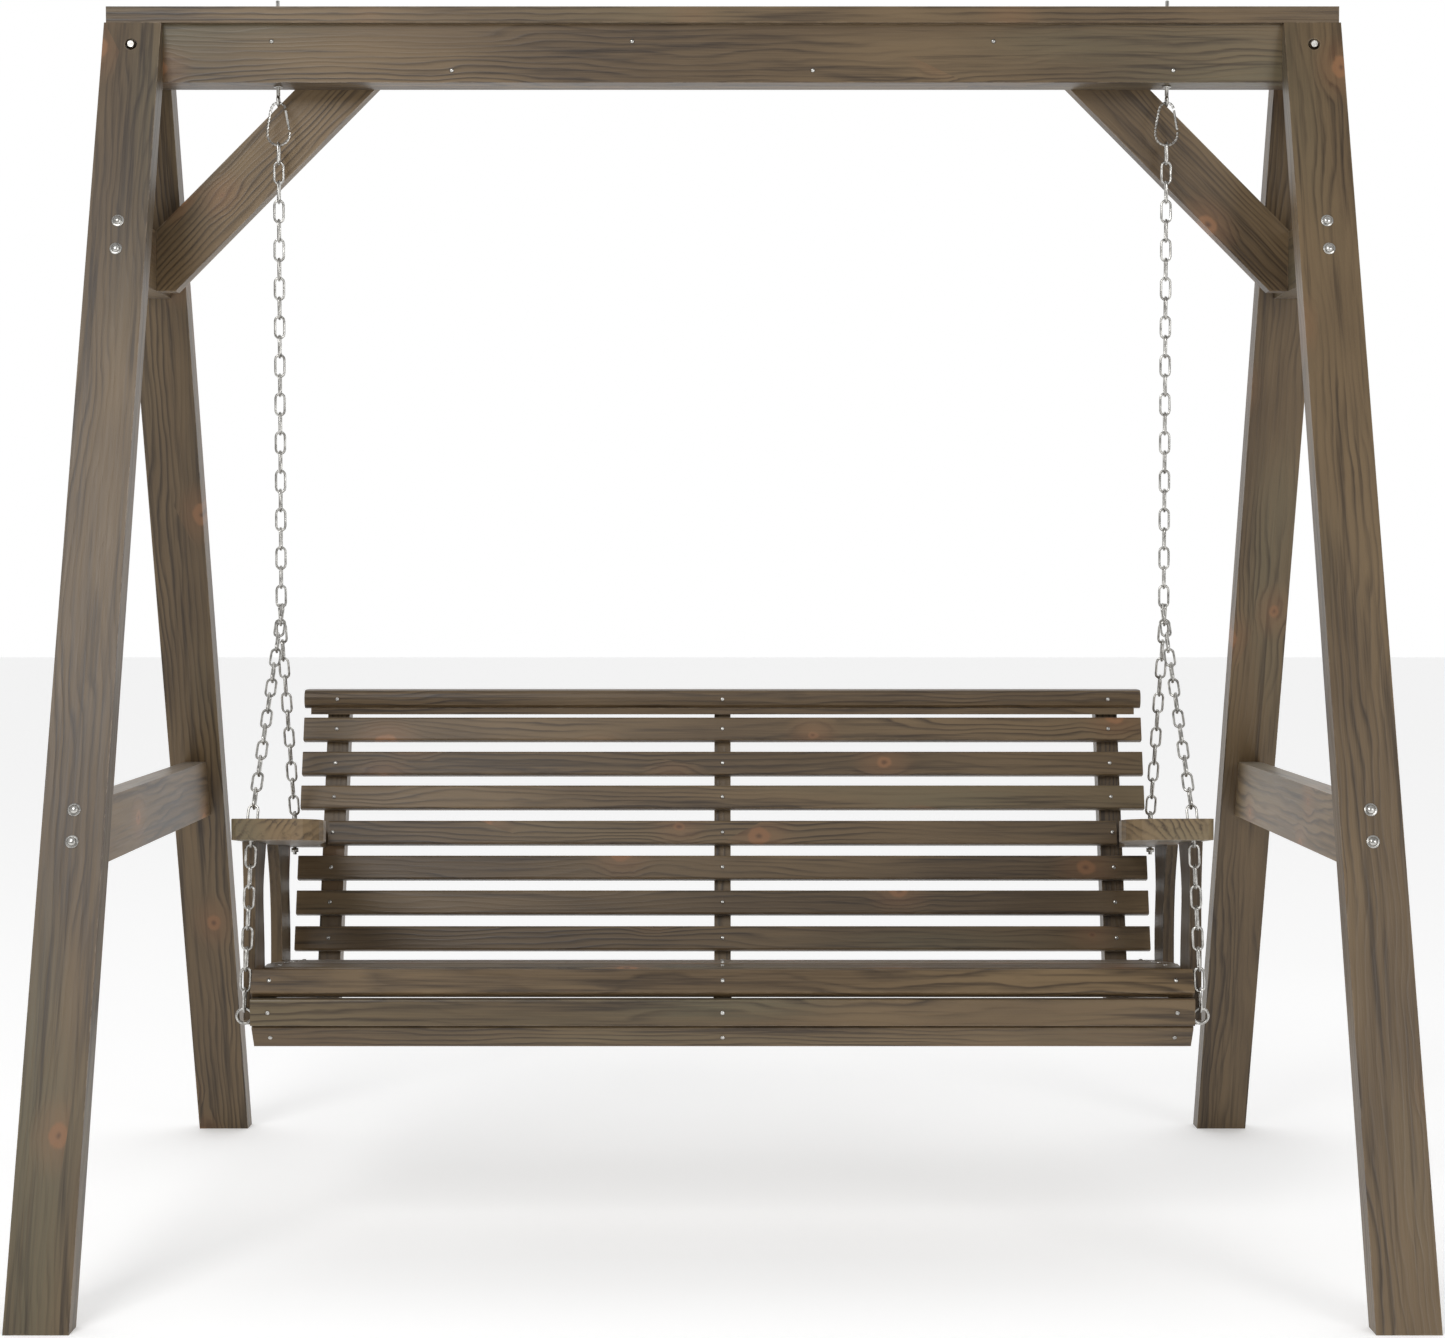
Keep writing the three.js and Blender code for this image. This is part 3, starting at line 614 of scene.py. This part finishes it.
def stand_bolts(steel):
    """Pairs of bolts through each leg into the spreaders, and the screws of the laminated beam."""
    bm = bmesh.new()
    legs_x = (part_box("leg_front_right")[0][0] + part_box("leg_front_right")[1][0]) / 2
    foot_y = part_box("leg_front_right")[0][1]
    for _, side in SIDES:
        for z in BOLT_HEIGHTS:
            for way in (-1, 1):
                y = way * (abs(foot_y) - z * LEG_SLOPE)
                normal = Vector((0, way * math.cos(LEG_ANGLE), math.sin(LEG_ANGLE)))
                at = Vector((side * legs_x, y, z)) - normal * BOLT_SINK
                washer(bm, at, normal, *BOLT_WASHER)
                dome_head(bm, at + normal * BOLT_WASHER[0], normal, BOLT_HEAD)
    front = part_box("beam_front_ply")[0][1]
    for z, places in BEAM_SCREWS:
        for x in places:
            dome_head(bm, (x, front, z), (0, -1, 0), BEAM_SCREW)
    new_mesh("stand_bolts", bm, steel, "stand")


def screw_row(bm, low, high, out, columns):
    """Screws along the middle of a slat's outer face."""
    middle = Vector((0, (low[1] + high[1]) / 2, (low[2] + high[2]) / 2)) + out * SCREW_SEAT
    for x in columns:
        dome_head(bm, middle + Vector((x, 0, 0)), out, SCREW)


def slat_screws(steel):
    """A screw where each slat crosses each stile or rail."""
    bm = bmesh.new()
    normal = Vector((0, -math.cos(BACK_ANGLE), math.sin(BACK_ANGLE)))
    for i in range(1, 8):
        low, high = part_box("back_slat_%d" % i)
        screw_row(bm, low, high, normal, STILE_SCREWS_X)
    low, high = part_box("cap_slat")
    for x in STILE_SCREWS_X:
        dome_head(bm, (x, low[1] + CAP_SCREW_SINK, high[2] - CAP_SCREW_DROP), (0, -1, 0), SCREW)
    for i in range(1, 7):
        low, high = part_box("seat_slat_%d" % i)
        lean = SEAT_ANGLE if i > 2 else 0.0
        up = Vector((0, math.sin(lean), math.cos(lean)))
        screw_row(bm, low, high, up, RAIL_SCREWS_X)
    for node, turn in ROLL_TURNS:
        low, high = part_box(node)
        out = Vector((0, -math.sin(math.radians(turn)), math.cos(math.radians(turn))))
        screw_row(bm, low, high, out, ROLL_SCREWS_X)
    new_mesh("slat_screws", bm, steel, "bench")


# ---------------------------------------------------------------- studio
def studio():
    """Pale floor, white sweep, two soft lamps and the camera."""
    bpy.ops.mesh.primitive_plane_add(size=60, location=(0, 0, 0))
    floor = bpy.context.object
    floor.name = "floor"
    pale = bpy.data.materials.new("pale_floor")
    pale.use_nodes = True
    finish = pale.node_tree.nodes["Principled BSDF"].inputs
    finish["Base Color"].default_value = (0.9, 0.9, 0.9, 1)
    finish["Roughness"].default_value = 0.9
    finish["Emission Color"].default_value = (1, 1, 1, 1)
    finish["Emission Strength"].default_value = 0.25
    floor.data.materials.append(pale)

    scene = bpy.context.scene
    world = bpy.data.worlds.new("studio")
    world.use_nodes = True
    n = Nodes(world.node_tree)
    # White sweep behind the swing, a dimmer room in front of it
    heading = n.add("ShaderNodeSeparateXYZ", {0: n.add("ShaderNodeTexCoord").outputs["Generated"]})
    room = n.remap(heading.outputs[1], -0.25, 0.35, 0.42, 1.0)
    seen = n.add("ShaderNodeLightPath").outputs["Is Camera Ray"]
    level = n.math("MAXIMUM", room, seen)
    background = world.node_tree.nodes["Background"]
    background.inputs["Color"].default_value = (1, 1, 1, 1)
    world.node_tree.links.new(level, background.inputs["Strength"])
    scene.world = world
    for name, place, size, power in LAMPS:
        lamp = bpy.data.lights.new(name, "AREA")
        lamp.size = size
        lamp.energy = power
        light = bpy.data.objects.new(name, lamp)
        light.location = place
        aim = Vector(LAMP_AIM) - Vector(place)
        light.rotation_euler = aim.to_track_quat("-Z", "Y").to_euler()
        scene.collection.objects.link(light)

    lens = bpy.data.cameras.new("camera")
    lens.sensor_fit = "HORIZONTAL"
    lens.sensor_width = 36
    lens.lens = CAMERA_LENS
    camera = bpy.data.objects.new("camera", lens)
    camera.location = CAMERA_PLACE
    camera.rotation_euler = (math.radians(90 - CAMERA_DIP), 0, 0)
    scene.collection.objects.link(camera)
    scene.camera = camera
    scene.view_settings.view_transform = "Standard"


def build():
    steel = steel_material()
    dress_wood()
    smooth_steel(steel)
    hangers(steel)
    bench_eyes(steel)
    chains(steel)
    stand_bolts(steel)
    slat_screws(steel)
    studio()


build()
